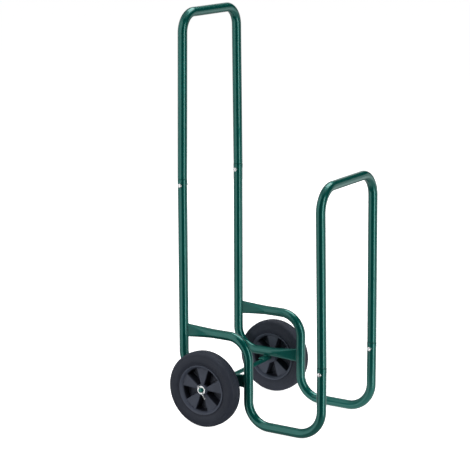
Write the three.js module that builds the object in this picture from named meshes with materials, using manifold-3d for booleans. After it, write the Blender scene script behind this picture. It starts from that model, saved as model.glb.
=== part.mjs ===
// Fireside log cart: bent steel tube frame on two solid rubber wheels.
// Millimetres, +Z up. Origin: centre of the footprint on the floor.
// +X is the left side and -X the right side of a person at the handle (+Y), -Y is the front.
import * as THREE from "three";
import { mergeVertices } from "three/addons/utils/BufferGeometryUtils.js";
import Module from "manifold-3d";

// ---------------------------------------------------------------- driving dimensions
const HEIGHT = 1095; // floor to the top of the handle
const WIDTH = 410; // axle end to axle end
const DEPTH = 446; // front of the front posts to the back of the rear posts

const TUBE_R = 12.5; // 25 mm frame tube
const WALL = 1.2;
const SIDES = 12; // facets round a frame tube, flats square to the axes
const ARC = 8; // steps in a 90 degree bend

const WHEEL_R = 102.5;
const TYRE_W = 42;
const WHEEL_X = 182; // centre plane of each wheel
const AXLE_Y = 118;
const AXLE_Z = WHEEL_R;
const AXLE_R = 6;
const SPOKE_FACE = 13; // middle of the wheel to the flat face of a spoke
const WEB_T = 2.2; // thickness of the rim's folded web

const FRONT_Y = -DEPTH / 2 + TUBE_R; // front posts
const HOOP_TOP_Y = -205;
const STEM_Y = 8.4; // upright of the side tubes
const REAR_Y = DEPTH / 2 - TUBE_R; // rear posts
const HANDLE_TOP_Y = 210;

const SIDE_X = 139; // plane of each side frame
const HANDLE_TOP_X = 131.5;
const HOOP_TOP_X = 143;

const UPPER_Z = 243; // upper run of the side tubes
const PLATE_T = 3.4; // seat plates between the axle rod and the lower side bars
const LOWER_Z = AXLE_Z + AXLE_R + 0.3 + PLATE_T + 0.3 + TUBE_R;
const HOOP_TOP_Z = 663.3;
const HANDLE_JOINT_Z = 649;
const HOOP_JOINT_Z = 199;
const BOLT_DROP = 14.8; // joint line to screw axis
const SPIGOT = 40; // length pushed into the tube below
const SPIGOT_R = 10.9;
const SPIGOT_BORE_R = 9.7;

const R_UPPER = 60; // centreline bend radii
const R_FOOT = 61.5;
const R_NOSE = 70;
const R_REAR = 59.5;
const R_HANDLE = 51.5;
const R_HOOP = 62;

const FLAT_LEN = 80; // length of a flattened tube end
const FLAT_H = 36.5; // its height at the weld
const FLAT_T = 6.2; // its thickness at the weld

const GAP = 0.3; // play between touching pieces

const BOLT_R = 3;
const HOLE_R = 3.5;

// ---------------------------------------------------------------- solids
const wasm = await Module();
wasm.setup();

function solid(geometry) {
  const g = new THREE.BufferGeometry().setAttribute(
    "position",
    (geometry.index ? geometry.toNonIndexed() : geometry).getAttribute("position").clone(),
  );
  const m = mergeVertices(g, 1e-3);
  const tri = new Uint32Array(m.index.array);
  const make = () =>
    new wasm.Manifold(
      new wasm.Mesh({ numProp: 3, vertProperties: new Float32Array(m.attributes.position.array), triVerts: tri }),
    );
  let s = make();
  if (s.volume() < 0) {
    for (let i = 0; i < tri.length; i += 3) [tri[i + 1], tri[i + 2]] = [tri[i + 2], tri[i + 1]];
    s = make();
  }
  return s;
}

function geometryOf(s) {
  const mesh = s.getMesh();
  const n = mesh.numProp;
  const pos = new Float32Array((mesh.vertProperties.length / n) * 3);
  for (let i = 0; i < pos.length / 3; i++)
    for (let k = 0; k < 3; k++) pos[3 * i + k] = mesh.vertProperties[n * i + k];
  const g = new THREE.BufferGeometry();
  g.setAttribute("position", new THREE.BufferAttribute(pos, 3));
  g.setIndex(new THREE.BufferAttribute(new Uint32Array(mesh.triVerts), 1));
  g.computeVertexNormals();
  return g;
}

const V = (x, y, z) => new THREE.Vector3(x, y, z);

// A centreline given by its own stations: one ring of the tube stands at each of them.
class Route extends THREE.Curve {
  constructor(stations) {
    super();
    this.st = stations;
  }
  getPoint(t, target = new THREE.Vector3()) {
    const n = this.st.length - 1;
    const i = Math.min(Math.floor(t * n + 1e-9), n - 1);
    return target.lerpVectors(this.st[i], this.st[i + 1], t * n - i);
  }
  getTangent(t, target = new THREE.Vector3()) {
    const n = this.st.length - 1;
    const i = Math.round(t * n);
    const a = this.st[Math.max(i - 1, 0)];
    const b = this.st[i];
    const c = this.st[Math.min(i + 1, n)];
    const u = b.clone().sub(a).normalize();
    const v = c.clone().sub(b).normalize();
    return target.copy(u).add(v).normalize();
  }
  getPointAt(u, target) {
    return this.getPoint(u, target);
  }
  getTangentAt(u, target) {
    return this.getTangent(u, target);
  }
}

// Corner points with bend radii (0: a plain station) become stations along the tube.
function stations(points) {
  const out = [];
  points.forEach(([p, r], i) => {
    if (!r || i === 0 || i === points.length - 1) {
      out.push(p.clone());
      return;
    }
    const a = points[i - 1][0].clone().sub(p).normalize();
    const b = points[i + 1][0].clone().sub(p).normalize();
    const half = Math.acos(THREE.MathUtils.clamp(a.dot(b), -1, 1)) / 2;
    const t = r / Math.tan(half);
    const centre = p.clone().add(a.clone().add(b).normalize().multiplyScalar(r / Math.sin(half)));
    const from = p.clone().addScaledVector(a, t).sub(centre);
    const to = p.clone().addScaledVector(b, t).sub(centre);
    const sweep = Math.PI - 2 * half;
    const n = Math.max(2, Math.round((ARC * sweep) / (Math.PI / 2)));
    for (let k = 0; k <= n; k++) {
      const s = k / n;
      out.push(
        centre
          .clone()
          .addScaledVector(from, Math.sin((1 - s) * sweep) / Math.sin(sweep))
          .addScaledVector(to, Math.sin(s * sweep) / Math.sin(sweep)),
      );
    }
  });
  return out;
}

// A polygon of n sides round a circle of radius r to its flats, the flats square to the axes.
function roundSection(r, n = SIDES) {
  const R = r / Math.cos(Math.PI / n);
  const pts = [];
  for (let i = 0; i < n; i++) {
    const a = ((i + 0.5) * 2 * Math.PI) / n;
    pts.push(new THREE.Vector2(R * Math.cos(a), R * Math.sin(a)));
  }
  return new THREE.Shape(pts);
}

function tube(points, r) {
  const st = stations(points);
  return new THREE.ExtrudeGeometry(roundSection(r), {
    steps: st.length - 1,
    bevelEnabled: false,
    extrudePath: new Route(st),
  });
}

function reshape(geometry, fn) {
  const p = geometry.getAttribute("position");
  const v = new THREE.Vector3();
  for (let i = 0; i < p.count; i++) {
    v.fromBufferAttribute(p, i);
    fn(v);
    p.setXYZ(i, v.x, v.y, v.z);
  }
  return geometry;
}

const smooth = (t) => {
  const c = THREE.MathUtils.clamp(t, 0, 1);
  return c * c * (3 - 2 * c);
};

// Crushes the end of a tube that runs along Y: narrower in X, taller in Z.
function flatten(geometry, { endY, dir, cx, cz, lift }) {
  return reshape(geometry, (v) => {
    const s = (v.y - endY) * dir; // 0 at the end, growing into the tube
    if (s > FLAT_LEN || s < -1 || Math.abs(v.z - cz) > 30 || Math.abs(v.x - cx) > 20) return;
    const f = Math.pow(1 - THREE.MathUtils.clamp(s / FLAT_LEN, 0, 1), 1.25);
    const h = 1 + f * (FLAT_H / (2 * TUBE_R) - 1);
    const w = 1 + smooth(f * 1.15) * (FLAT_T / (2 * TUBE_R) - 1);
    v.x = cx + (v.x - cx) * w;
    v.z = cz + (v.z - cz) * h + lift * f;
  });
}

// A cylinder along X.
function barX(r, x0, x1, y, z, n = 16) {
  const g = new THREE.CylinderGeometry(r, r, Math.abs(x1 - x0), n);
  g.rotateZ(Math.PI / 2);
  g.translate((x0 + x1) / 2, y, z);
  return g;
}

// A turned shape: profile of [radius, position along X].
function turned(profile, n = 32) {
  const g = new THREE.LatheGeometry(
    profile.map(([r, a]) => new THREE.Vector2(r, a)),
    n,
  );
  g.rotateZ(-Math.PI / 2);
  return g;
}

// ---------------------------------------------------------------- materials
const green = new THREE.MeshStandardMaterial({ color: 0x0f5142, roughness: 0.28, metalness: 0.1, flatShading: true });
const zinc = new THREE.MeshStandardMaterial({ color: 0xd4d8d8, roughness: 0.32, metalness: 0.9, flatShading: true });
const rubber = new THREE.MeshStandardMaterial({ color: 0x25262b, roughness: 0.8, metalness: 0, flatShading: true });
const plastic = new THREE.MeshStandardMaterial({ color: 0x2c2e34, roughness: 0.55, metalness: 0, flatShading: true });

const cart = new THREE.Group();
cart.name = "fireside_log_cart";

function add(parent, name, shape, material) {
  const mesh = new THREE.Mesh(shape.isBufferGeometry ? shape : geometryOf(shape), material);
  mesh.name = name;
  parent.add(mesh);
  return mesh;
}

// ---------------------------------------------------------------- frame tubes
// Cross hole for a joint screw, both walls of a tube at x.
const boltHole = (x, y, z) => solid(barX(HOLE_R, x - 20, x + 20, y, z, 12));

// Side tube: flattened end at the rear post, upper run, upright, floor rail, front post.
function sideTube(x) {
  const y0 = REAR_Y - TUBE_R - GAP; // flattened end
  const top = HOOP_JOINT_Z - 0.2;
  const outerPoints = [[V(x, y0, UPPER_Z), 0]];
  for (const s of [10, 22, 36, 50, 65, FLAT_LEN]) outerPoints.push([V(x, y0 - s, UPPER_Z), 0]);
  const bends = [
    [V(x, STEM_Y, UPPER_Z), R_UPPER],
    [V(x, STEM_Y, TUBE_R), R_FOOT],
    [V(x, FRONT_Y, TUBE_R), R_NOSE],
  ];
  outerPoints.push(...bends, [V(x, FRONT_Y, top - 14), 0], [V(x, FRONT_Y, top - 6), 0], [V(x, FRONT_Y, top), 0]);
  const outer = flatten(tube(outerPoints, TUBE_R), { endY: y0, dir: -1, cx: x, cz: UPPER_Z, lift: -1.5 });
  belled(outer, x, FRONT_Y, top);
  const bore = tube([[V(x, y0 - FLAT_LEN - 4, UPPER_Z), 0], ...bends, [V(x, FRONT_Y, top + 5), 0]], TUBE_R - WALL);
  return solid(outer)
    .subtract(solid(bore))
    .subtract(boltHole(x, FRONT_Y, HOOP_JOINT_Z - BOLT_DROP));
}

// The mouth of a lower tube is opened a little by the tube pushed into it.
function belled(geometry, x, y, top) {
  reshape(geometry, (v) => {
    const s = top - v.z;
    if (s > 13 || Math.hypot(v.x - x, v.y - y) > 20) return;
    const k = 1 + (0.4 / TUBE_R) * (s < 10 ? 1 : (13 - s) / 3);
    v.x = x + (v.x - x) * k;
    v.y = y + (v.y - y) * k;
  });
}

// Rear post: upright, bend, lower side bar, flattened end at the side tube's upright.
function rearPost(x) {
  const y1 = STEM_Y + TUBE_R + GAP;
  const top = HANDLE_JOINT_Z - 0.2;
  const points = [
    [V(x, REAR_Y, top), 0],
    [V(x, REAR_Y, top - 6), 0],
    [V(x, REAR_Y, top - 14), 0],
    [V(x, REAR_Y, LOWER_Z), R_REAR],
  ];
  const outerPoints = [...points];
  for (const s of [FLAT_LEN, 65, 50, 36, 22, 10, 0]) outerPoints.push([V(x, y1 + s, LOWER_Z), 0]);
  const outer = flatten(tube(outerPoints, TUBE_R), { endY: y1, dir: 1, cx: x, cz: LOWER_Z, lift: 2.5 });
  belled(outer, x, REAR_Y, top);
  const bore = tube(
    [[V(x, REAR_Y, top + 5), 0], [V(x, REAR_Y, LOWER_Z), R_REAR], [V(x, y1 + FLAT_LEN + 4, LOWER_Z), 0]],
    TUBE_R - WALL,
  );
  return solid(outer)
    .subtract(solid(bore))
    .subtract(boltHole(x, REAR_Y, HANDLE_JOINT_Z - BOLT_DROP));
}

// Handle and front hoop: an inverted U whose two ends are drawn down to slip into the tubes below.
function hoop({ y, joint, topX, topY, topZ, bend }) {
  const line = (extra, r) => {
    const leg = (sx) => [
      [V(sx * SIDE_X, y, joint - SPIGOT - extra), 0],
      [V(sx * SIDE_X, y, joint + 0.1), 0],
      [V(sx * SIDE_X, y, joint + 0.3), 0],
      [V(sx * SIDE_X, y, joint + 6), 0],
      [V(sx * topX, topY, topZ), bend],
    ];
    return reshape(tube([...leg(-1), ...leg(1).reverse()], r), (v) => {
      if (v.z > joint + 0.2) return;
      const x = Math.sign(v.x) * SIDE_X;
      const k = (extra ? SPIGOT_BORE_R : SPIGOT_R) / r;
      v.x = x + (v.x - x) * k;
      v.y = y + (v.y - y) * k;
    });
  };
  const z = joint - BOLT_DROP;
  return solid(line(0, TUBE_R))
    .subtract(solid(line(3, TUBE_R - WALL)))
    .subtract(boltHole(-SIDE_X, y, z))
    .subtract(boltHole(SIDE_X, y, z));
}

add(
  cart,
  "handle_tube",
  hoop({ y: REAR_Y, joint: HANDLE_JOINT_Z, topX: HANDLE_TOP_X, topY: HANDLE_TOP_Y, topZ: HEIGHT - TUBE_R, bend: R_HANDLE }),
  green,
);
add(
  cart,
  "front_hoop_tube",
  hoop({ y: FRONT_Y, joint: HOOP_JOINT_Z, topX: HOOP_TOP_X, topY: HOOP_TOP_Y, topZ: HOOP_TOP_Z, bend: R_HOOP }),
  green,
);
for (const [side, sx] of [
  ["right", -1],
  ["left", 1],
]) {
  add(cart, "side_tube_" + side, sideTube(sx * SIDE_X), green);
  add(cart, "rear_post_" + side, rearPost(sx * SIDE_X), green);
}

// ---------------------------------------------------------------- axle rod
const PIN_X = 201.8; // split pin axis, from the centre plane
const PIN_DOWN = (-52 * Math.PI) / 180; // the pin leans: its legs point down and to the front
const pinDir = V(0, -Math.cos(PIN_DOWN), Math.sin(PIN_DOWN)); // from eye to legs
{
  const h = WIDTH / 2;
  const rod = turned(
    [
      [0, -h],
      [AXLE_R - 1, -h],
      [AXLE_R, -h + 1],
      [AXLE_R, h - 1],
      [AXLE_R - 1, h],
      [0, h],
    ],
    16,
  );
  rod.translate(0, AXLE_Y, AXLE_Z);
  let s = solid(rod);
  for (const sx of [-1, 1]) {
    const hole = new THREE.CylinderGeometry(1.9, 1.9, 20, 12);
    hole.applyQuaternion(new THREE.Quaternion().setFromUnitVectors(V(0, 1, 0), pinDir));
    hole.translate(sx * PIN_X, AXLE_Y, AXLE_Z);
    s = s.subtract(solid(hole));
  }
  add(cart, "axle_rod", s, green);
}

// Seat plates: each lies on the rod, carries a lower side bar and runs on towards the middle.
for (const [side, sx] of [
  ["right", -1],
  ["left", 1],
]) {
  const shape = new THREE.Shape();
  const c = 1.2;
  const w = 7;
  const t = PLATE_T / 2;
  [
    [-w, -t],
    [w, -t],
    [w, t - c],
    [w - c, t],
    [-w + c, t],
    [-w, t - c],
  ].forEach(([y, z], i) => (i ? shape.lineTo(y, z) : shape.moveTo(y, z)));
  shape.closePath();
  const g = new THREE.ExtrudeGeometry(shape, { depth: 45, bevelEnabled: false });
  // drawn in XY with depth along Z: depth to +X, drawing X to +Y, drawing Y to +Z
  g.applyMatrix4(new THREE.Matrix4().set(0, 0, 1, 0, 1, 0, 0, 0, 0, 1, 0, 0, 0, 0, 0, 1));
  g.translate(sx > 0 ? 105 : -150, AXLE_Y, AXLE_Z + AXLE_R + 0.3 + t);
  add(cart, "axle_plate_" + side, solid(g), green);
}

// ---------------------------------------------------------------- joint screws and nuts
// Drawn along +X from the tube's axis: the head bears on the outer face, the nut on the inner face.
function screw() {
  const b = TUBE_R + GAP;
  const body = turned(
    [
      [0, -18.6],
      [BOLT_R - 0.7, -18.6],
      [BOLT_R, -17.9],
      [BOLT_R, b],
      [5.75, b],
      [5.75, b + 1.4],
      [4.8, b + 3.1],
      [0, b + 4],
    ],
    16,
  );
  const socket = new THREE.CylinderGeometry(2.3, 2.3, 4, 6);
  socket.rotateZ(Math.PI / 2);
  socket.translate(b + 4 + 2 - 2.2, 0, 0);
  return solid(body).subtract(solid(socket));
}

function nut() {
  const shape = new THREE.Shape();
  for (let i = 0; i < 6; i++) {
    const a = (i * Math.PI) / 3;
    const p = [5.77 * Math.cos(a), 5.77 * Math.sin(a)];
    i ? shape.lineTo(...p) : shape.moveTo(...p);
  }
  shape.closePath();
  const g = new THREE.ExtrudeGeometry(shape, { depth: 4.6, bevelEnabled: false });
  g.rotateY(Math.PI / 2); // depth now along +X
  g.translate(-TUBE_R - GAP - 4.6, 0, 0);
  const chamfer = turned(
    [
      [0, -TUBE_R - GAP - 4.7],
      [5.0, -TUBE_R - GAP - 4.7],
      [6.2, -TUBE_R - GAP - 3.9],
      [6.2, -TUBE_R - GAP + 0.1],
      [0, -TUBE_R - GAP + 0.1],
    ],
    16,
  );
  return solid(g)
    .intersect(solid(chamfer))
    .subtract(solid(barX(BOLT_R + 0.3, -30, 0, 0, 0, 12)));
}

for (const [joint, y, z] of [
  ["handle", REAR_Y, HANDLE_JOINT_Z - BOLT_DROP],
  ["hoop", FRONT_Y, HOOP_JOINT_Z - BOLT_DROP],
])
  for (const [side, sx] of [
    ["right", -1],
    ["left", 1],
  ]) {
    const at = new THREE.Group();
    at.position.set(sx * SIDE_X, y, z);
    if (sx < 0) at.rotation.z = Math.PI;
    cart.add(at);
    add(at, `bolt_${joint}_${side}`, screw(), zinc);
    add(at, `nut_${joint}_${side}`, nut(), zinc);
  }

// ---------------------------------------------------------------- wheels
// Drawn with the axle along X and the outer face towards +X.
const HALF = TYRE_W / 2;

function tyre() {
  const side = [
    [64.4, 16.2],
    [69, 16.2],
    [69.4, 19.8],
    [80, HALF],
    [90, 20],
    [97.5, 15.2],
    [101.6, 7.5],
  ];
  const profile = [
    ...side,
    [WHEEL_R, 0],
    ...side
      .slice()
      .reverse()
      .map(([r, a]) => [r, -a]),
    side[0],
  ];
  return solid(turned(profile, 40));
}

function rim() {
  const barrel = turned(
    [
      [60.5, 20],
      [68.5, 20],
      [68.5, 16.5],
      [64, 16.5],
      [64, -16.5],
      [68.5, -16.5],
      [68.5, -20],
      [60.5, -20],
      [59, 0],
      [60.5, 20],
    ],
    40,
  );
  const hub = turned(
    [
      [0, -27.4],
      [15.4, -27.4],
      [15.8, 0],
      [15.4, 15.2],
      [0, 15.2],
    ],
    40,
  );
  // The web folds from one face to the other ten times: five spokes outside, five inside between them.
  let web = solid(
    turned(
      [
        [12, -SPOKE_FACE],
        [60.6, -SPOKE_FACE],
        [60.6, SPOKE_FACE],
        [12, SPOKE_FACE],
        [12, -SPOKE_FACE],
      ],
      40,
    ),
  );
  const slope = Math.tan(Math.PI / 10);
  const pocket = (angle, face) => {
    const pts = [];
    // across the mouth, then across the floor: lines beside the 18 degree rays, narrower at the floor
    for (const [a, off] of [
      [SPOKE_FACE + 1, 0.6],
      [-SPOKE_FACE + WEB_T, -2.4],
    ])
      for (const u of [14, 62])
        for (const side of [-1, 1]) {
          const v = side * (u * slope + off);
          pts.push([
            face * a,
            u * Math.cos(angle) - v * Math.sin(angle),
            u * Math.sin(angle) + v * Math.cos(angle),
          ]);
        }
    return wasm.Manifold.hull(pts);
  };
  for (let k = 0; k < 5; k++) {
    web = web.subtract(pocket(((2 * k + 1) * Math.PI) / 5, 1));
    web = web.subtract(pocket((2 * k * Math.PI) / 5, -1));
  }
  const s = web.add(solid(barrel)).add(solid(hub));
  return s.subtract(solid(barX(AXLE_R + 0.35, -40, 40, 0, 0, 24)));
}

const washer = (x0, x1) =>
  turned(
    [
      [AXLE_R + 0.35, x0],
      [12.5, x0],
      [12.5, x1],
      [AXLE_R + 0.35, x1],
      [AXLE_R + 0.35, x0],
    ],
    24,
  );

// Split pin: one wire, both legs through the axle, a round eye on one side, the legs splayed on the other.
// Drawn in the plane of the wheel: -Z is from eye to legs.
function splitPin() {
  const w = 0.82; // half distance between the legs
  const e = 8.2; // where the eye closes
  const R = 2.7;
  const pts = [V(-5.2, 0, -20.5), V(-2.6, 0, -14.5), V(-w, 0, -8.5), V(-w, 0, 0), V(-w, 0, e)];
  const c = e + Math.sqrt(R * R - w * w) + 0.4;
  const start = Math.atan2(-(c - e), -w);
  for (let i = 1; i < 12; i++) {
    const a = THREE.MathUtils.lerp(Math.PI + 0.98, -0.98, i / 12);
    pts.push(V(R * Math.cos(a), 0, c + R * Math.sin(a)));
  }
  pts.push(V(w, 0, e), V(w, 0, 0), V(w, 0, -8.5), V(1.2, 0, -17), V(2.6, 0, -26.5));
  const g = new THREE.ExtrudeGeometry(roundSection(0.68, 6), {
    steps: pts.length - 1,
    bevelEnabled: false,
    extrudePath: new Route(pts),
  });
  return solid(g);
}

for (const [side, sx, phase] of [
  ["right", -1, 16],
  ["left", 1, 56],
]) {
  const hub = new THREE.Group();
  hub.position.set(sx * WHEEL_X, AXLE_Y, AXLE_Z);
  if (sx < 0) hub.rotation.z = Math.PI;
  cart.add(hub);
  add(hub, "tyre_" + side, tyre(), rubber);
  const turn = new THREE.Group();
  turn.rotation.x = (phase * Math.PI) / 180;
  hub.add(turn);
  add(turn, "rim_" + side, rim(), plastic);
  add(hub, "inner_washer_" + side, washer(-30.1, -27.7), plastic);
  add(hub, "outer_washer_" + side, washer(15.5, 18), zinc);

  const pin = new THREE.Group();
  pin.position.set(sx * PIN_X, AXLE_Y, AXLE_Z);
  pin.quaternion.setFromUnitVectors(V(0, 0, -1), pinDir);
  // the drawing's X lies in the wheel plane
  const g = new THREE.Group();
  g.rotation.z = Math.PI / 2;
  pin.add(g);
  cart.add(pin);
  add(g, "split_pin_" + side, splitPin(), zinc);
}

export default cart;
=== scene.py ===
import math

import bpy
import numpy as np
from mathutils import Matrix, Vector


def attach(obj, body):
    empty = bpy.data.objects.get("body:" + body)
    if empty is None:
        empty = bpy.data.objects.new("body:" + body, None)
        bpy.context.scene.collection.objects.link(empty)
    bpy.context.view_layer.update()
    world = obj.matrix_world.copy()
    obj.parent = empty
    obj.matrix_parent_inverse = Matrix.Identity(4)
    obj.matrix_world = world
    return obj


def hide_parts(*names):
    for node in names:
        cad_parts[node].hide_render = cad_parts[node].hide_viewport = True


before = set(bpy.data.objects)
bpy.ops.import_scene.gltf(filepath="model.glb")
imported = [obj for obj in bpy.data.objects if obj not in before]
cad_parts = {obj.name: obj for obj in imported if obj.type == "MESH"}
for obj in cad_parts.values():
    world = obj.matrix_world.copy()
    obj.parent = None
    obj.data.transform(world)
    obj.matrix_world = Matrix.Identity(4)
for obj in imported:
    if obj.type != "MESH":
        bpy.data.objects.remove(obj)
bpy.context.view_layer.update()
MM = 0.001

# ------------------------------------------------------------------ sizes, in mm, as in the construction
TR = 12.5            # tube radius
SX = 139.0           # side frame planes
HX, FX = 131.5, 143.0
FY, STEM, REAR = -210.5, 8.4, 210.5
HTY, FTY = 210.0, -205.0
UZ, LZ = 243.0, 125.0
HTZ, FTZ = 1082.5, 663.3
HJ, FJ = 649.0, 199.0
DROP = 14.8
R_UP, R_FOOT, R_NOSE, R_REAR, R_HAND, R_HOOP = 60.0, 61.5, 70.0, 59.5, 51.5, 62.0
FLAT_LEN, FLAT_H = 80.0, 36.5
AY, AZ = 118.0, 102.5
WX = 182.0
PINX = 201.8
SECT = 56            # sides of a tube section

# name, degrees right of the camera, distance, height, width, tallness (m), brightness
LIGHTS = [
    ("soft_left", -57, 1.10, 0.70, 0.8, 2.5, 1.0),
    ("left_wall", -100, 1.15, 0.70, 1.0, 2.5, 0.48),
    ("soft_right", 47, 2.6, 0.55, 0.9, 3.3, 3.3),
    ("side_right", 120, 2.2, 0.30, 1.2, 1.7, 0.60),
    ("side_left", -125, 3.0, 1.0, 1.2, 2.4, 0.5),
    ("back", 183, 3.2, 1.2, 2.6, 2.8, 0.65),
    ("top", 180, 0.5, 3.25, 3.2, 3.2, 0.45),
    ("over", 145, 1.3, 3.15, 2.2, 1.8, 3.2),
    ("bounce", 150, 1.75, -0.02, 5.0, 3.6, 0.36),
    ("floor_glow", 58, 0.16, -0.02, 0.6, 0.55, 0.24),
]


# ------------------------------------------------------------------ small mesh helpers
def new_object(name, verts, faces, mat, body, node=None, smooth=True, sharp=35.0):
    me = bpy.data.meshes.new(name)
    v = np.asarray(verts, float) * MM
    me.from_pydata([tuple(p) for p in v], [], [tuple(int(i) for i in f) for f in faces])
    me.validate()
    me.update()
    if smooth:
        me.polygons.foreach_set("use_smooth", [True] * len(me.polygons))
        mark_sharp(me, sharp)
    ob = bpy.data.objects.new(name, me)
    bpy.context.scene.collection.objects.link(ob)
    me.materials.append(mat)
    if node:
        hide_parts(*([node] if isinstance(node, str) else node))
    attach(ob, body)
    return ob


def mark_sharp(me, degrees):
    import bmesh
    bm = bmesh.new()
    bm.from_mesh(me)
    bmesh.ops.recalc_face_normals(bm, faces=bm.faces)
    lim = math.radians(degrees)
    for e in bm.edges:
        if len(e.link_faces) == 2 and e.calc_face_angle(0.0) > lim:
            e.smooth = False
    bm.to_mesh(me)
    bm.free()


def join(*parts):
    """Several (verts, faces) as one."""
    V, F, n = [], [], 0
    for v, f in parts:
        v = np.asarray(v, float)
        V.append(v)
        F += [[i + n for i in q] for q in f]
        n += len(v)
    return np.concatenate(V), F


def grid_faces(rows, cols, close_rows=False, close_cols=True, start=0):
    F = []
    for i in range(rows if close_rows else rows - 1):
        a, b = i * cols, ((i + 1) % rows) * cols
        for j in range(cols if close_cols else cols - 1):
            k = (j + 1) % cols
            F.append([start + a + j, start + a + k, start + b + k, start + b + j])
    return F


def fillet_path(points, step=3.0):
    """Corner points [(xyz, bend radius)] become closely set stations; straight runs keep only their ends."""
    out = []
    P = [np.array(p, float) for p, _ in points]
    for i, (p, r) in enumerate(points):
        p = P[i]
        if not r or i in (0, len(points) - 1):
            out.append(p)
            continue
        a = P[i - 1] - p
        b = P[i + 1] - p
        a /= np.linalg.norm(a)
        b /= np.linalg.norm(b)
        half = math.acos(float(np.clip(a @ b, -1, 1))) / 2
        t = r / math.tan(half)
        m = (a + b) / np.linalg.norm(a + b)
        c = p + m * (r / math.sin(half))
        u = p + a * t - c
        w = p + b * t - c
        sweep = math.pi - 2 * half
        n = max(3, int(math.ceil(math.degrees(sweep) / step)))
        for k in range(n + 1):
            s = k / n
            out.append(c + u * (math.sin((1 - s) * sweep) / math.sin(sweep)) + w * (math.sin(s * sweep) / math.sin(sweep)))
    return np.array(out)


def refine(path, most=14.0):
    """No stretch between stations longer than this."""
    out = [path[0]]
    for a, b in zip(path[:-1], path[1:]):
        n = max(1, int(math.ceil(np.linalg.norm(b - a) / most)))
        out += [a + (b - a) * k / n for k in range(1, n + 1)]
    return np.array(out)


def frames(path, up):
    """Tangent and two section axes at every station; the first section axis starts as near to up as it can."""
    d = np.diff(path, axis=0)
    d /= np.linalg.norm(d, axis=1)[:, None]
    t = np.vstack([d[:1], d[:-1] + d[1:], d[-1:]])
    t /= np.linalg.norm(t, axis=1)[:, None]
    u = np.array(up, float)
    u -= t[0] * (u @ t[0])
    u /= np.linalg.norm(u)
    U = [u]
    for i in range(1, len(path)):
        v = U[-1] - t[i] * (U[-1] @ t[i])
        U.append(v / np.linalg.norm(v))
    U = np.array(U)
    W = np.cross(t, U)
    return t, U, W


def sweep(path, up, radius, sides=SECT, shape=None, cap0=True, cap1=True):
    """A tube along the path. radius is one number or one for each station; shape(i, angles) may give a section of its own as (u, w)."""
    t, U, W = frames(path, up)
    a = (np.arange(sides) + 0.5) * 2 * math.pi / sides
    n = len(path)
    V = np.zeros((n, sides, 3))
    for i in range(n):
        if shape is not None:
            u, w = shape(i, a)
        else:
            r = radius if np.isscalar(radius) else radius[i]
            u, w = r * np.cos(a), r * np.sin(a)
        V[i] = path[i] + np.outer(u, U[i]) + np.outer(w, W[i])
    V = V.reshape(-1, 3)
    F = grid_faces(n, sides)
    if cap0:
        F.append(list(range(sides))[::-1])
    if cap1:
        F.append([(n - 1) * sides + k for k in range(sides)])
    return V, F


def lathe(profile, sides, axis="x", closed=True, centre=(0, 0, 0), flip=1.0, phase=0.0):
    """Turned shape; profile rows are (radius, place along the axis). A radius of 0 makes a point."""
    a = np.arange(sides) * 2 * math.pi / sides + phase
    V, F, rows = [], [], []
    for r, s in profile:
        if r < 1e-6:
            rows.append([len(V)])
            V.append([s * flip, 0, 0])
        else:
            rows.append(list(range(len(V), len(V) + sides)))
            V += [[s * flip, r * c, r * q] for c, q in zip(np.cos(a), np.sin(a))]
    pairs = list(zip(rows, rows[1:] + rows[:1])) if closed else list(zip(rows, rows[1:]))
    for A, B in pairs:
        if len(A) == 1 and len(B) == 1:
            continue
        for j in range(sides):
            k = (j + 1) % sides
            if len(A) == 1:
                F.append([A[0], B[k], B[j]])
            elif len(B) == 1:
                F.append([A[j], A[k], B[0]])
            else:
                F.append([A[j], A[k], B[k], B[j]])
    return np.array(V, float) + np.array(centre, float), F


def rounded(corners, r=0.5, n=3, closed=False):
    """A profile with its corners rounded; corners are (radius, place, own rounding or None)."""
    pts = [np.array(c[:2], float) for c in corners]
    rr = [c[2] if len(c) > 2 and c[2] is not None else r for c in corners]
    out = []
    m = len(pts)
    for i, p in enumerate(pts):
        if not closed and i in (0, m - 1) or rr[i] <= 0:
            out.append(tuple(p))
            continue
        a = pts[(i - 1) % m] - p
        b = pts[(i + 1) % m] - p
        la, lb = np.linalg.norm(a), np.linalg.norm(b)
        q = min(rr[i], la * 0.45, lb * 0.45)
        a, b = p + a / la * q, p + b / lb * q
        for k in range(n + 1):
            s = k / n
            out.append(tuple((1 - s) ** 2 * a + 2 * s * (1 - s) * p + s * s * b))
    return out


# ------------------------------------------------------------------ materials
def material(name):
    m = bpy.data.materials.new(name)
    m.use_nodes = True
    nt = m.node_tree
    b = nt.nodes["Principled BSDF"]
    tc = nt.nodes.new("ShaderNodeTexCoord")
    return m, nt, b, tc


def noise(nt, tc, scale, detail=2.0, rough=0.5, distortion=0.0):
    n = nt.nodes.new("ShaderNodeTexNoise")
    n.inputs["Scale"].default_value = scale
    n.inputs["Detail"].default_value = detail
    n.inputs["Roughness"].default_value = rough
    n.inputs["Distortion"].default_value = distortion
    nt.links.new(tc.outputs["Object"], n.inputs["Vector"])
    return n


def ramp(nt, source, stops):
    r = nt.nodes.new("ShaderNodeValToRGB")
    e = r.color_ramp.elements
    while len(e) < len(stops):
        e.new(0.5)
    for el, (p, c) in zip(e, stops):
        el.position = p
        el.color = (*c, 1.0) if len(c) == 3 else c
    nt.links.new(source, r.inputs["Fac"])
    return r


def mapr(nt, source, a, b, c, d):
    r = nt.nodes.new("ShaderNodeMapRange")
    r.inputs["From Min"].default_value = a
    r.inputs["From Max"].default_value = b
    r.inputs["To Min"].default_value = c
    r.inputs["To Max"].default_value = d
    nt.links.new(source, r.inputs["Value"])
    return r


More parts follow.
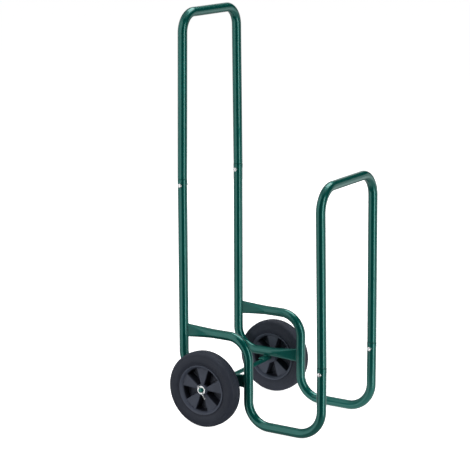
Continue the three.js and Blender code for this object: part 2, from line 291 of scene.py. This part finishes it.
def bump(nt, b, source, strength, distance, before=None):
    n = nt.nodes.new("ShaderNodeBump")
    n.inputs["Strength"].default_value = strength
    n.inputs["Distance"].default_value = distance
    nt.links.new(source, n.inputs["Height"])
    if before is not None:
        nt.links.new(before.outputs["Normal"], n.inputs["Normal"])
    nt.links.new(n.outputs["Normal"], b.inputs["Normal"])
    return n


def green_paint():
    m, nt, b, tc = material("green_paint")
    big = noise(nt, tc, 9.0, 3.0, 0.55)
    col = ramp(nt, big.outputs["Fac"], [(0.30, (0.0010, 0.158, 0.130)), (0.70, (0.0016, 0.178, 0.148))])
    nt.links.new(col.outputs["Color"], b.inputs["Base Color"])
    mid = noise(nt, tc, 60.0, 3.0, 0.6)
    r = mapr(nt, mid.outputs["Fac"], 0.3, 0.7, 0.30, 0.37)
    nt.links.new(r.outputs["Result"], b.inputs["Roughness"])
    b.inputs["Metallic"].default_value = 0.55
    b.inputs["Coat Weight"].default_value = 0.8
    b.inputs["Coat Roughness"].default_value = 0.10
    b.inputs["Specular IOR Level"].default_value = 0.4
    peel = noise(nt, tc, 420.0, 2.0, 0.5)
    n1 = bump(nt, b, peel.outputs["Fac"], 0.03, 0.0003)
    wave = noise(nt, tc, 45.0, 1.0, 0.4)
    bump(nt, b, wave.outputs["Fac"], 0.06, 0.0010, n1)
    return m


def zinc_plate():
    m, nt, b, tc = material("zinc_plate")
    n = noise(nt, tc, 350.0, 4.0, 0.6)
    col = ramp(nt, n.outputs["Fac"], [(0.3, (0.93, 0.96, 0.965)), (0.7, (0.97, 0.985, 0.99))])
    nt.links.new(col.outputs["Color"], b.inputs["Base Color"])
    b.inputs["Metallic"].default_value = 1.0
    r = mapr(nt, n.outputs["Fac"], 0.3, 0.7, 0.16, 0.24)
    nt.links.new(r.outputs["Result"], b.inputs["Roughness"])
    f = noise(nt, tc, 1800.0, 3.0, 0.6)
    bump(nt, b, f.outputs["Fac"], 0.06, 0.0001)
    return m


def rubber():
    m, nt, b, tc = material("tyre_rubber")
    n = noise(nt, tc, 22.0, 4.0, 0.6)
    col = ramp(nt, n.outputs["Fac"], [(0.30, (0.036, 0.044, 0.067)), (0.72, (0.047, 0.057, 0.084))])
    nt.links.new(col.outputs["Color"], b.inputs["Base Color"])
    g = noise(nt, tc, 900.0, 4.0, 0.65)
    r = mapr(nt, g.outputs["Fac"], 0.3, 0.7, 0.55, 0.72)
    nt.links.new(r.outputs["Result"], b.inputs["Roughness"])
    b.inputs["Specular IOR Level"].default_value = 0.45
    bump(nt, b, g.outputs["Fac"], 0.35, 0.0003)
    return m


def rim_plastic():
    m, nt, b, tc = material("rim_plastic")
    n = noise(nt, tc, 30.0, 3.0, 0.5)
    col = ramp(nt, n.outputs["Fac"], [(0.3, (0.098, 0.115, 0.160)), (0.7, (0.111, 0.130, 0.178))])
    # painted shade: the rim's base colour darkens the nearer a surface lies to the wheel's middle plane, so the walls
    # and floors of the deep pockets between the spokes come out dark
    sep = nt.nodes.new("ShaderNodeSeparateXYZ")
    nt.links.new(tc.outputs["Object"], sep.inputs["Vector"])
    ax = nt.nodes.new("ShaderNodeMath")
    ax.operation = "ABSOLUTE"
    nt.links.new(sep.outputs["X"], ax.inputs[0])
    off = nt.nodes.new("ShaderNodeMath")
    off.operation = "SUBTRACT"
    nt.links.new(ax.outputs["Value"], off.inputs[0])
    off.inputs[1].default_value = WX * MM
    dep = nt.nodes.new("ShaderNodeMath")
    dep.operation = "ABSOLUTE"
    nt.links.new(off.outputs["Value"], dep.inputs[0])
    # painted shade mask: mostly the dark colour within 8.5 mm of the middle plane, full plastic colour from 12.6 mm out
    painted_pocket_shade = mapr(nt, dep.outputs["Value"], 0.0085, 0.0126, 0.20, 1.0)
    mix = nt.nodes.new("ShaderNodeMix")
    mix.data_type = "RGBA"
    nt.links.new(painted_pocket_shade.outputs["Result"], mix.inputs["Factor"])
    # colour of the painted shade in the pockets
    mix.inputs[6].default_value = (0.024, 0.026, 0.038, 1)
    nt.links.new(col.outputs["Color"], mix.inputs[7])
    nt.links.new(mix.outputs[2], b.inputs["Base Color"])
    g = noise(nt, tc, 1300.0, 3.0, 0.6)
    r = mapr(nt, g.outputs["Fac"], 0.3, 0.7, 0.44, 0.58)
    nt.links.new(r.outputs["Result"], b.inputs["Roughness"])
    b.inputs["Specular IOR Level"].default_value = 0.4
    bump(nt, b, g.outputs["Fac"], 0.30, 0.0002)
    return m


GREEN = green_paint()
ZINC = zinc_plate()
RUBBER = rubber()
PLASTIC = rim_plastic()


# ------------------------------------------------------------------ frame tubes
def stadium(h, t, a):
    """Points of a flattened tube's section at parameters a: h tall (u), t thick (w), round ends; equal steps of its outline."""
    s = (h - t) / 2
    per = 4 * s + math.pi * t
    # start in the middle of the +u round end and walk towards +w
    L = (a / (2 * math.pi)) * per
    q = math.pi * t / 4
    u = np.zeros_like(a)
    w = np.zeros_like(a)
    r = t / 2
    for i, l in enumerate(L):
        l = l % per
        if l < q:
            th = l / r
            u[i], w[i] = s + r * math.cos(th), r * math.sin(th)
        elif l < q + 2 * s:
            u[i], w[i] = s - (l - q), r
        elif l < 3 * q + 2 * s:
            th = math.pi / 2 + (l - q - 2 * s) / r
            u[i], w[i] = -s + r * math.cos(th), r * math.sin(th)
        elif l < 3 * q + 4 * s:
            u[i], w[i] = -s + (l - 3 * q - 2 * s), -r
        else:
            th = 3 * math.pi / 2 + (l - 3 * q - 4 * s) / r
            u[i], w[i] = s + r * math.cos(th), r * math.sin(th)
    return u, w


def flat_amount(s):
    return max(0.0, 1.0 - s / FLAT_LEN) ** 1.25 if s < FLAT_LEN else 0.0


def flat_section(f, a):
    h = 2 * TR + f * (FLAT_H - 2 * TR)
    t = (2 * math.pi * TR - 2 * h) / (math.pi - 2)
    return stadium(h, max(t, 4.4), a)


def open_mouth(V, F, ring, path_end, tangent, depth=34.0, wall=1.2, lip=0.5):
    """Turns the last ring of a tube into an open mouth: rounded lip, bore and a floor down inside. ring holds its indices in order."""
    V = [np.array(v) for v in V]
    c = np.mean([V[i] for i in ring], axis=0)
    last = ring
    def add(scale_to, along):
        ids = []
        for i in ring:
            d = V[i] - c
            r = np.linalg.norm(d)
            V.append(c + d * ((r + scale_to) / r) + tangent * along)
            ids.append(len(V) - 1)
        return ids
    steps = [(-0.15, 0.30), (-0.45, 0.45), (-0.80, 0.40), (-1.1, 0.10), (-wall, -0.35), (-wall, -depth)]
    for ds, al in steps:
        nxt = add(ds, al)
        m = len(ring)
        for j in range(m):
            k = (j + 1) % m
            F.append([last[j], last[k], nxt[k], nxt[j]])
        last = nxt
    F.append(list(last))
    return np.array(V), F


def side_tube(side, sx):
    x = sx * SX
    y0 = REAR - TR - 0.3
    top = FJ - 0.2
    pts = [((x, y0, UZ), 0), ((x, STEM, UZ), R_UP), ((x, STEM, TR), R_FOOT), ((x, FY, TR), R_NOSE),
           ((x, FY, top - 20), 0), ((x, FY, top - 14), 0), ((x, FY, top - 11), 0), ((x, FY, top), 0)]
    path = fillet_path(pts)
    path = np.vstack([refine(path[:2], 2.5), refine(path[1:], 14.0)[1:]])
    arc = np.concatenate([[0], np.cumsum(np.linalg.norm(np.diff(path, axis=0), axis=1))])
    total = arc[-1]
    path = path.copy()
    for i in range(len(path)):
        path[i, 2] += -1.5 * flat_amount(arc[i])
    def shape(i, a):
        f = flat_amount(arc[i])
        if f > 0:
            return flat_section(f, a)
        s = total - arc[i]
        r = TR + (0.4 if s < 10.5 else 0.4 * max(0.0, 14.0 - s) / 3.5)
        return r * np.cos(a), r * np.sin(a)
    V, F = sweep(path, (0, 0, 1), TR, shape=shape, cap1=False)
    n = len(path)
    V, F = open_mouth(V, F, [(n - 1) * SECT + k for k in range(SECT)], path[-1], np.array([0, 0, 1.0]))
    new_object("side_tube_" + side + "_fine", V, F, GREEN, "frame", "side_tube_" + side)


def rear_post(side, sx):
    x = sx * SX
    y1 = STEM + TR + 0.3
    top = HJ - 0.2
    pts = [((x, y1, LZ), 0), ((x, REAR, LZ), R_REAR), ((x, REAR, top - 20), 0), ((x, REAR, top - 14), 0),
           ((x, REAR, top - 11), 0), ((x, REAR, top), 0)]
    path = fillet_path(pts)
    path = np.vstack([refine(path[:2], 2.5), refine(path[1:], 14.0)[1:]])
    arc = np.concatenate([[0], np.cumsum(np.linalg.norm(np.diff(path, axis=0), axis=1))])
    total = arc[-1]
    path = path.copy()
    for i in range(len(path)):
        path[i, 2] += 2.5 * flat_amount(arc[i])
    def shape(i, a):
        f = flat_amount(arc[i])
        if f > 0:
            return flat_section(f, a)
        s = total - arc[i]
        r = TR + (0.4 if s < 10.5 else 0.4 * max(0.0, 14.0 - s) / 3.5)
        return r * np.cos(a), r * np.sin(a)
    V, F = sweep(path, (0, 0, 1), TR, shape=shape, cap1=False)
    n = len(path)
    V, F = open_mouth(V, F, [(n - 1) * SECT + k for k in range(SECT)], path[-1], np.array([0, 0, 1.0]))
    new_object("rear_post_" + side + "_fine", V, F, GREEN, "frame", "rear_post_" + side)


def hoop(name, node, y, joint, tx, ty, tz, bend):
    def leg(sx):
        x = sx * SX
        return [((x, y, joint - 30), 0), ((x, y, joint - 0.4), 0), ((x, y, joint + 0.5), 0), ((x, y, joint + 1.2), 0),
                ((x, y, joint + 2.0), 0), ((x, y, joint + 3.0), 0), ((x, y, joint + 6.0), 0), ((sx * tx, ty, tz), bend)]
    path = fillet_path(leg(-1) + leg(1)[::-1])
    path = refine(path, 14.0)
    def r_at(z):
        s = z - joint
        if s < 0.3:
            return 10.9
        if s > 3.0:
            return TR
        k = (s - 0.3) / 2.7
        return 10.9 + (TR - 10.9) * math.sqrt(max(0.0, 1 - (1 - k) ** 2))
    V, F = sweep(path, (1, 0, 0), [r_at(p[2]) for p in path])
    new_object(name, V, F, GREEN, "frame", node)


for side, sx in (("right", -1), ("left", 1)):
    side_tube(side, sx)
    rear_post(side, sx)
hoop("handle_tube_fine", "handle_tube", REAR, HJ, HX, HTY, HTZ, R_HAND)
hoop("front_hoop_tube_fine", "front_hoop_tube", FY, FJ, FX, FTY, FTZ, R_HOOP)


# ------------------------------------------------------------------ welds
def bead(points, r, seed, closed=True, sides=12, up=(0, 0, 1), pitch=2.3, squash=None):
    """A weld bead along a line of points: ripples at the torch's pitch and a little unevenness."""
    P = np.array(points, float)
    if closed:
        P = np.vstack([P, P[:1]])
    seg = np.linalg.norm(np.diff(P, axis=0), axis=1)
    L = np.concatenate([[0], np.cumsum(seg)])
    n = max(16, int(L[-1] / 0.55))
    s = np.linspace(0, L[-1], n + 1)
    Q = np.stack([np.interp(s, L, P[:, k]) for k in range(3)], 1)
    rng = np.random.RandomState(seed)
    slow = np.interp(s, np.linspace(0, L[-1], 9), np.append(rng.uniform(-1, 1, 8), 0))
    rad = r * (1 + 0.10 * np.cos(2 * math.pi * s / pitch + seed) + 0.10 * slow)
    if not closed:
        ends = np.minimum(s, L[-1] - s)
        rad = rad * np.sqrt(np.clip(ends / (1.2 * r), 0.02, 1.0))
        return sweep(Q, up, rad, sides=sides)
    Q, rad = Q[:-1], rad[:-1]
    m = len(Q)
    t = np.roll(Q, -1, axis=0) - np.roll(Q, 1, axis=0)
    t /= np.linalg.norm(t, axis=1)[:, None]
    c = Q.mean(0)
    U = Q - c
    U -= t * (U * t).sum(1)[:, None]
    U /= np.linalg.norm(U, axis=1)[:, None]
    W = np.cross(t, U)
    a = np.arange(sides) * 2 * math.pi / sides
    V = (Q[:, None, :] + rad[:, None, None] * (np.cos(a)[None, :, None] * U[:, None, :] + np.sin(a)[None, :, None] * W[:, None, :])).reshape(-1, 3)
    return V, grid_faces(m, sides, close_rows=True)


def end_weld(name, x, y_face, out, zc, post_y, seed):
    """Round the flattened end where it meets an upright of radius TR at post_y; out is the way the upright lies (+1 or -1 along Y)."""
    a = np.linspace(0, 2 * math.pi, 72, endpoint=False)
    u, w = flat_section(1.0, a)
    pts = []
    for du, dw in zip(u, w):
        k = 1.0 + 0.25 / max(1e-6, math.hypot(du, dw))
        xx = dw * k
        yy = post_y - out * math.sqrt(max(0.0, (TR - 0.2) ** 2 - xx * xx))
        pts.append((x + xx, yy, zc + du * k))
    V, F = bead(pts, 1.75, seed, up=(0, 1, 0))
    new_object(name, V, F, GREEN, "frame", sharp=60)


def axle_plate(name, node, sx):
    """Flat seat plate on the rod, under the lower side bar, with rolled edges."""
    h, t, x0, x1, r = 7.0, 3.4, 105.0, 150.0, 1.1
    zc = AZ + 6.3 + t / 2
    ring = []
    for cy, cz, a0 in ((h - r, t / 2 - r, 0), (-(h - r), t / 2 - r, 90), (-(h - r), -(t / 2 - r), 180), (h - r, -(t / 2 - r), 270)):
        for k in range(6):
            q = math.radians(a0 + 18 * k)
            ring.append((cy + r * math.cos(q), cz + r * math.sin(q)))
    m = len(ring)
    V, F = [], []
    for x, k in ((x0, 0.80), (x0 + 0.25, 0.90), (x0 + 0.8, 1.0), (x0 + 15, 1.0), (x1 - 15, 1.0), (x1 - 0.8, 1.0), (x1 - 0.25, 0.90), (x1, 0.80)):
        for y, z in ring:
            d = (1 - k) * 2.6
            V.append([sx * x, AY + y - math.copysign(min(abs(y), d), y), zc + z * (0.72 + 0.28 * (k - 0.8) / 0.2)])
    n = 8
    F += grid_faces(n, m)
    F.append(list(range(m))[::-1])
    F.append([(n - 1) * m + k for k in range(m)])
    new_object(name, V, F, GREEN, "frame", node, sharp=50)


def plate_welds(name, sx, seed):
    """Beads along the plate: to the rod on both sides, and round the seat of the bar above."""
    parts = []
    for i, dy in enumerate((-1, 1)):
        line = [(sx * x, AY + dy * 4.9, AZ + 5.2) for x in np.linspace(109, 147, 20)]
        parts.append(bead(line, 2.0, seed + i, closed=False, up=(0, 0, 1)))
    for i, dx in enumerate((-1, 1)):
        x = sx * (SX + dx * 7.6)
        line = [(x, AY + y, AZ + 10.6 + 0.4) for y in np.linspace(-6.8, 6.8, 9)]
        parts.append(bead(line, 1.9, seed + 5 + i, closed=False, up=(0, 0, 1)))
    V, F = join(*parts)
    new_object(name, V, F, GREEN, "frame", sharp=60)


for side, sx, sd in (("right", -1, 3), ("left", 1, 11)):
    end_weld("weld_upper_" + side, sx * SX, REAR - TR - 0.3, 1, UZ - 1.5, REAR, sd)
    end_weld("weld_lower_" + side, sx * SX, STEM + TR + 0.3, -1, LZ + 2.5, STEM, sd + 1)
    axle_plate("axle_plate_" + side + "_fine", "axle_plate_" + side, sx)
    plate_welds("weld_axle_" + side, sx, sd + 2)


# ------------------------------------------------------------------ axle rod
prof = [(0, -205), (4.75, -205), (5.0, -204.93), (5.9, -204.1), (6.0, -203.8), (6.0, -140), (6.0, 0), (6.0, 140), (6.0, 203.8),
        (5.9, 204.1), (5.0, 204.93), (4.75, 205), (0, 205)]
V, F = lathe(prof, 48, closed=False, centre=(0, AY, AZ))
new_object("axle_rod_fine", V, F, GREEN, "frame", "axle_rod")


# ------------------------------------------------------------------ joint screws and nuts
def screw(name, node, cx, cy, cz, out):
    """Button head screw with a hexagon socket. out is +1 or -1: the way the head points along X."""
    b = TR + 0.45
    sides = 48
    head = [(5.55, b), (5.75, b + 0.15), (5.78, b + 0.8), (5.70, b + 1.5), (5.45, b + 2.2), (5.0, b + 2.8), (4.4, b + 3.2), (3.7, b + 3.42), (3.0, b + 3.54), (2.4, b + 3.61)]
    a = np.arange(sides) * 2 * math.pi / sides
    V, F = [], []
    def ring(r, s):
        ids = list(range(len(V), len(V) + sides))
        for q in a:
            V.append([s * out, r * math.cos(q), r * math.sin(q)])
        return ids
    def hexring(r_in, s):
        ids = list(range(len(V), len(V) + sides))
        for q in a:
            k = (q % (math.pi / 3)) - math.pi / 6
            r = r_in / math.cos(k)
            V.append([s * out, r * math.cos(q), r * math.sin(q)])
        return ids
    # shank, under-head face and dome
    rows = [ring(2.3, -19.0), ring(2.9, -18.3)]
    s = -18.3
    while s < -11.5:
        rows += [ring(2.55, s + 0.25), ring(2.98, s + 0.5), ring(2.98, s + 0.62)]
        s += 1.0
    rows += [ring(2.95, -11.0), ring(2.95, b)]
    rows += [ring(r, z) for r, z in head]
    rows += [hexring(1.72, b + 3.61), hexring(1.6, b + 3.4), hexring(1.55, b + 2.5)]
    for A, B in zip(rows, rows[1:]):
        for j in range(sides):
            k = (j + 1) % sides
            F.append([A[j], A[k], B[k], B[j]])
    V.append([-19.3 * out, 0, 0])
    c0 = len(V) - 1
    V.append([(b + 2.35) * out, 0, 0])
    c1 = len(V) - 1
    for j in range(sides):
        k = (j + 1) % sides
        F.append([rows[0][k], rows[0][j], c0])
        F.append([rows[-1][j], rows[-1][k], c1])
    V = np.array(V) + np.array([cx, cy, cz])
    new_object(name, V, F, ZINC, "frame", node, sharp=32)


def nut(name, node, cx, cy, cz, out):
    """Hexagon nut with turned chamfers on both faces and a plain bore."""
    sides = 96
    a = np.arange(sides) * 2 * math.pi / sides
    x0, x1 = -(TR + 0.4), -(TR + 0.4 + 4.6)
    V, F, rows = [], [], []
    def ring(fn, s):
        ids = list(range(len(V), len(V) + sides))
        for q in a:
            r = fn(q)
            V.append([s * out, r * math.cos(q), r * math.sin(q)])
        return ids
    hexr = lambda q: 5.0 / math.cos((q % (math.pi / 3)) - math.pi / 6)
    cut = 4.95
    def chamfer(q, d):
        return min(hexr(q), cut + d * 1.75)
    bore = 3.05
    rows.append(ring(lambda q: bore, x0))
    rows.append(ring(lambda q: cut - 0.1, x0))
    for d in (0.0, 0.15, 0.3, 0.48):
        rows.append(ring(lambda q, d=d: chamfer(q, d), x0 - d - 0.02))
    for d in (0.48, 0.3, 0.15, 0.0):
        rows.append(ring(lambda q, d=d: chamfer(q, d), x1 + d + 0.02))
    rows.append(ring(lambda q: cut - 0.1, x1))
    rows.append(ring(lambda q: bore + 0.35, x1))
    rows.append(ring(lambda q: bore, x1 + 0.5))
    m = len(rows)
    for i in range(m):
        A, B = rows[i], rows[(i + 1) % m]
        for j in range(sides):
            k = (j + 1) % sides
            F.append([A[j], A[k], B[k], B[j]])
    V = np.array(V) + np.array([cx, cy, cz])
    new_object(name, V, F, ZINC, "frame", node, sharp=28)


for joint, jy, jz in (("handle", REAR, HJ - DROP), ("hoop", FY, FJ - DROP)):
    for side, sx in (("right", -1), ("left", 1)):
        screw(f"bolt_{joint}_{side}_fine", f"bolt_{joint}_{side}", sx * SX, jy, jz, sx)
        nut(f"nut_{joint}_{side}_fine", f"nut_{joint}_{side}", sx * SX, jy, jz, sx)


# ------------------------------------------------------------------ wheels
def tyre(side, sx):
    """Solid rubber tyre: bead seat, bulged sides, shoulder ribs and a grooved tread."""
    seg = 360
    half = [(64.3, 0.0), (64.3, 14.6), (65.2, 15.9), (67.9, 16.2), (68.0, 17.6), (68.6, 18.3), (69.8, 18.55), (71.4, 18.8), (73.2, 19.5), (75.2, 20.3), (77.6, 20.8), (80.2, 21.0), (83.0, 21.0),
            (86.0, 20.85), (89.0, 20.4), (91.2, 19.85), (91.9, 19.3), (92.5, 19.25), (93.2, 19.5), (94.6, 19.1), (95.6, 18.75), (96.2, 18.75), (97.6, 18.3), (99.0, 17.4), (100.1, 16.2), (100.7, 15.0),
            (100.9, 14.2), (100.2, 13.9), (100.15, 13.1), (101.1, 12.8), (101.5, 10.8), (101.6, 9.3), (100.7, 9.0), (100.7, 8.1), (101.75, 7.8), (102.0, 5.8), (102.1, 4.3),
            (101.1, 4.0), (101.1, 3.1), (102.2, 2.8), (102.45, 1.2), (102.5, 0.0)]
    profile = half + [(r, -s) for r, s in half[::-1][1:-1]]
    a = np.arange(seg) * 2 * math.pi / seg
    V, rows = [], []
    for r, s in profile:
        rr = np.full(seg, r)
        ss = np.full(seg, abs(s))
        # shoulder notches: one in every three steps is let in a little
        if 96.0 < r < 101.0 and abs(s) > 14.5:
            d = 0.55 * (np.arange(seg) % 3 == 0)
            rr = rr - d * 0.8
            ss = ss - d * 0.6
        V.append(np.stack([np.sign(s) * ss if s else np.zeros(seg), rr * np.cos(a), rr * np.sin(a)], 1))
    n = len(profile)
    V = np.concatenate(V) + np.array([sx * WX, AY, AZ])
    F = grid_faces(n, seg, close_rows=True)
    new_object("tyre_" + side + "_fine", V, F, RUBBER, side + "_wheel", "tyre_" + side, sharp=30)


def rim(side, sx, phase):
    """One moulding: bored hub, barrel with two lips, and a web that folds from face to face, five spokes outside and five inside between them.
    A polar sheet for each face, joined at the bore and over the barrel."""
    half, face, floor = math.radians(18), 13.0, -10.8
    m = 5 * 36

    def columns(turn):
        # (angle, mm off the 18 degree line, 1 on the spoke's face .. 0 on the pocket's floor)
        edge = [(-2.2, 1.0), (-1.3, 0.997), (-0.85, 0.985), (-0.60, 0.96), (-0.42, 0.925), (-0.30, 0.87), (0.9, 0.45), (2.25, 0.045), (2.6, 0.012), (3.1, 0.0)]
        cols = []
        for k in range(5):
            c = math.radians(72 * k) + turn
            cols += [(c + half * q, 0.0, 1.0) for q in (-0.5, -0.25, 0.0, 0.25, 0.5)]
            cols += [(c + half, d, l) for d, l in edge]
            for q in range(1, 12):
                cols.append((c + half, ("floor", q / 12), 0.0))
            cols += [(c + 3 * half, -d, l) for d, l in edge[::-1]]
        return cols

    def place(col, r):
        ang, d, lev = col
        if isinstance(d, tuple):
            lo, hi = ang + 3.1 / r, ang + 2 * half - 3.1 / r
            return lo + (hi - lo) * d[1], lev
        return ang + d / r, lev

    def level(r, lev):
        base = floor + (face - floor) * lev
        for q, r0, r1 in ((2.2, 59.4, 57.2), (1.6, 16.0, 17.6)):
            k = (r - r1) / (r0 - r1)
            if 0 < k <= 1:
                base = max(base, floor + (1 - math.sqrt(max(0.0, 1 - k * k))) * q)
        return base

    V, F = [], []
    m = len(columns(0))
    spin = math.radians(phase)
    sy = 1 if sx > 0 else -1

    def put(r, s, t):
        V.append([s * sx, sy * r * math.cos(t + spin), r * math.sin(t + spin)])

    def ring(r, s, turn):
        ids = list(range(len(V), len(V) + m))
        for j in range(m):
            put(r, s, turn - half * 0.5 + j * 2 * math.pi / m)
        return ids

    radii = [16.0, 16.3, 16.9, 17.6, 19.0, 22.0, 26.0, 31.0, 36.0, 41.0, 46.0, 51.0, 54.5, 57.2, 58.0, 58.7, 59.15, 59.4]

    def face_rows(sign, hub_end, turn):
        cols = columns(turn)
        rows = []
        for r, s_ in [(6.35, hub_end - 0.6), (6.9, hub_end), (14.4, hub_end), (15.0, hub_end - 0.2), (15.35, hub_end - 0.7), (15.7, face + 0.25 if sign > 0 else face + 0.6)]:
            rows.append(ring(r, sign * s_, turn))
        for r in radii:
            ids = list(range(len(V), len(V) + m))
            for c in cols:
                t, lev = place(c, r)
                put(r, sign * level(r, lev), t)
            rows.append(ids)
        for r, s_ in [(59.7, 13.4), (60.1, 14.2), (60.6, 15.3), (61.3, 16.6), (62.1, 17.8), (63.0, 18.9), (63.8, 19.6), (64.5, 20.0), (65.3, 20.2), (66.1, 20.35), (66.8, 20.4), (67.2, 20.2),
                      (67.5, 19.7), (67.6, 19.0), (67.6, 18.2), (67.5, 17.0), (67.0, 16.6), (64.6, 16.4), (64.0, 15.8)]:
            rows.append(ring(r, sign * s_, turn))
        return rows
    outer = face_rows(1, 15.2, 0.0)
    inner = face_rows(-1, 27.4, math.radians(36))
    for rows in (outer, inner):
        for A, B in zip(rows, rows[1:]):
            for j in range(m):
                k = (j + 1) % m
                F.append([A[j], A[k], B[k], B[j]] if rows is outer else [A[k], A[j], B[j], B[k]])
    # bore and barrel join the two faces; the inner sheet's columns start half a spoke step later
    shift = m // 10
    for A, B in ((inner[0], outer[0]), (outer[-1], inner[-1])):
        for j in range(m):
            k = (j + 1) % m
            if A is inner[0]:
                F.append([A[(j - shift) % m], A[(k - shift) % m], B[k], B[j]])
            else:
                F.append([A[j], A[k], B[(k - shift) % m], B[(j - shift) % m]])
    V = np.array(V) + np.array([sx * WX, AY, AZ])
    new_object("rim_" + side + "_fine", V, F, PLASTIC, side + "_wheel", "rim_" + side, sharp=42)


def washer(name, node, sx, xa, xb, mat):
    lo, hi = min(xa, xb), max(xa, xb)
    prof = rounded([(6.4, lo, 0.2), (11.9, lo, 0.5), (11.9, hi, 0.5), (6.4, hi, 0.2)], 0.3, 3, closed=True)
    V, F = lathe(prof, 72, centre=(0, AY, AZ))
    new_object(name, V, F, mat, "frame", node, sharp=40)


def split_pin(name, node, sx):
    """One bent wire in a plane across the axle: the eye up and back, both legs through the axle, then bent down and to the front."""
    q = math.radians(-52)
    d = np.array([math.cos(q), math.sin(q)])        # (towards the front, up), from the eye to the legs
    n = np.array([-d[1], d[0]])
    w, e, R = 0.80, 8.4, 2.75
    c = e + math.sqrt(R * R - w * w) + 0.2

    def on(a, b):
        return tuple(n * a + d * -b)
    leg1 = [(14.3, -23.8), (13.2, -22.9), (11.0, -20.7), (8.4, -17.9), (6.2, -14.9), (5.0, -11.6), (4.6, -8.6)]
    leg2 = [(5.9, -7.9), (6.6, -10.8), (8.0, -13.9), (10.0, -16.6), (12.0, -18.9), (13.2, -20.3), (13.9, -21.3)]
    pts = leg1 + [on(-w, -5.4), on(-w, 0), on(-w, 4), on(-w, e)]
    a0 = math.pi + 1.18
    for k in range(1, 24):
        t = a0 + (-1.18 - a0) * k / 24
        pts.append(on(R * math.cos(t), c + R * math.sin(t)))
    pts += [on(w, e), on(w, 4), on(w, 0), on(w, -5.4)] + leg2
    P = np.array([(sx * PINX, AY - y, AZ + z) for y, z in pts])
    for _ in range(2):
        Q = [P[0]]
        for u, v in zip(P[:-1], P[1:]):
            Q += [u * 0.75 + v * 0.25, u * 0.25 + v * 0.75]
        Q.append(P[-1])
        P = np.array(Q)
    keep = [P[0]]
    for v in P[1:]:
        if np.linalg.norm(v - keep[-1]) > 0.25:
            keep.append(v)
    P = np.array(keep)
    rad = np.full(len(P), 0.76)
    rad[0] = rad[-1] = 0.5
    V, F = sweep(P, (1, 0, 0), rad, sides=14)
    new_object(name, V, F, ZINC, "frame", node, sharp=50)


for side, sx, phase in (("right", -1, 16), ("left", 1, 56)):
    tyre(side, sx)
    rim(side, sx, phase if sx < 0 else phase)
    washer("inner_washer_" + side + "_fine", "inner_washer_" + side, sx, sx * (WX - 30.1), sx * (WX - 27.75), PLASTIC)
    washer("outer_washer_" + side + "_fine", "outer_washer_" + side, sx, sx * (WX + 15.55), sx * (WX + 17.6), ZINC)
    split_pin("split_pin_" + side + "_fine", "split_pin_" + side, sx)


# ------------------------------------------------------------------ camera
CAM = Vector((-3.77738, -2.20713, 1.46788))
YAW, PITCH, ROLL = math.radians(-58.2), math.radians(-12.51), math.radians(-0.2)
D = Vector((-math.sin(YAW) * math.cos(PITCH), math.cos(YAW) * math.cos(PITCH), math.sin(PITCH)))
Rt = Vector((math.cos(YAW), math.sin(YAW), 0))
Up = Rt.cross(D)
R2 = Rt * math.cos(ROLL) + Up * math.sin(ROLL)
U2 = -Rt * math.sin(ROLL) + Up * math.cos(ROLL)
cd = bpy.data.cameras.new("photo_camera")
cd.sensor_width = 36.0
cd.lens = 1692.42 / 470.0 * 36.0
cd.clip_start, cd.clip_end = 0.05, 100.0
cam = bpy.data.objects.new("photo_camera", cd)
bpy.context.scene.collection.objects.link(cam)
cam.matrix_world = Matrix(((R2.x, U2.x, -D.x, CAM.x), (R2.y, U2.y, -D.y, CAM.y), (R2.z, U2.z, -D.z, CAM.z), (0, 0, 0, 1)))
bpy.context.scene.camera = cam

# ------------------------------------------------------------------ floor and light
# A white floor in a white room. The floor's own glow stays out of the paint's reflections, as a dull studio floor would.
fm, fnt, fb, ftc = material("floor_white")
fn = noise(fnt, ftc, 1.2, 2.0, 0.5)
fr = ramp(fnt, fn.outputs["Fac"], [(0.3, (0.90, 0.90, 0.90)), (0.7, (0.93, 0.93, 0.93))])
fnt.links.new(fr.outputs["Color"], fb.inputs["Base Color"])
fb.inputs["Roughness"].default_value = 0.9
fb.inputs["Specular IOR Level"].default_value = 0.1
fb.inputs["Emission Color"].default_value = (1, 1, 1, 1)
fb.inputs["Emission Strength"].default_value = 1.0
fme = bpy.data.meshes.new("floor")
s = 30.0
fme.from_pydata([(-s, -s, -0.0005), (s, -s, -0.0005), (s, s, -0.0005), (-s, s, -0.0005)], [], [(0, 1, 2, 3)])
floor = bpy.data.objects.new("floor", fme)
bpy.context.scene.collection.objects.link(floor)
fme.materials.append(fm)
floor.visible_glossy = False
floor.visible_diffuse = False
floor.visible_shadow = False

world = bpy.data.worlds.new("studio")
bpy.context.scene.world = world
world.use_nodes = True
bg = world.node_tree.nodes["Background"]
bg.inputs["Color"].default_value = (1, 1, 1, 1)
bg.inputs["Strength"].default_value = 1.0
world.cycles_visibility.diffuse = False
world.cycles_visibility.glossy = False


def area(name, az, dist, z, wide, tall, radiance):
    """A soft box az degrees to the right of the camera as seen from it, with its face's brightness."""
    q = math.atan2(CAM.y, CAM.x) + math.radians(az)
    loc = Vector((dist * math.cos(q), dist * math.sin(q), z))
    l = bpy.data.lights.new(name, "AREA")
    l.shape = "RECTANGLE"
    l.size, l.size_y = wide, tall
    l.energy = radiance * wide * tall * math.pi
    o = bpy.data.objects.new(name, l)
    bpy.context.scene.collection.objects.link(o)
    o.location = loc
    o.rotation_mode = "QUATERNION"
    aim = Vector((0, 0, 0.5)) - loc
    if z < 0 or z > 3:
        aim = Vector((-loc.x * 1e-3, -loc.y * 1e-3, 1.0 if z < 0 else -1.0))
    o.rotation_quaternion = aim.to_track_quat("-Z", "Y")
    o.visible_camera = False
    return o


for spec in LIGHTS:
    area(*spec)

vs = bpy.context.scene.view_settings
vs.view_transform = "Standard"
vs.look = "None"
vs.exposure = 0.0
vs.gamma = 1.0
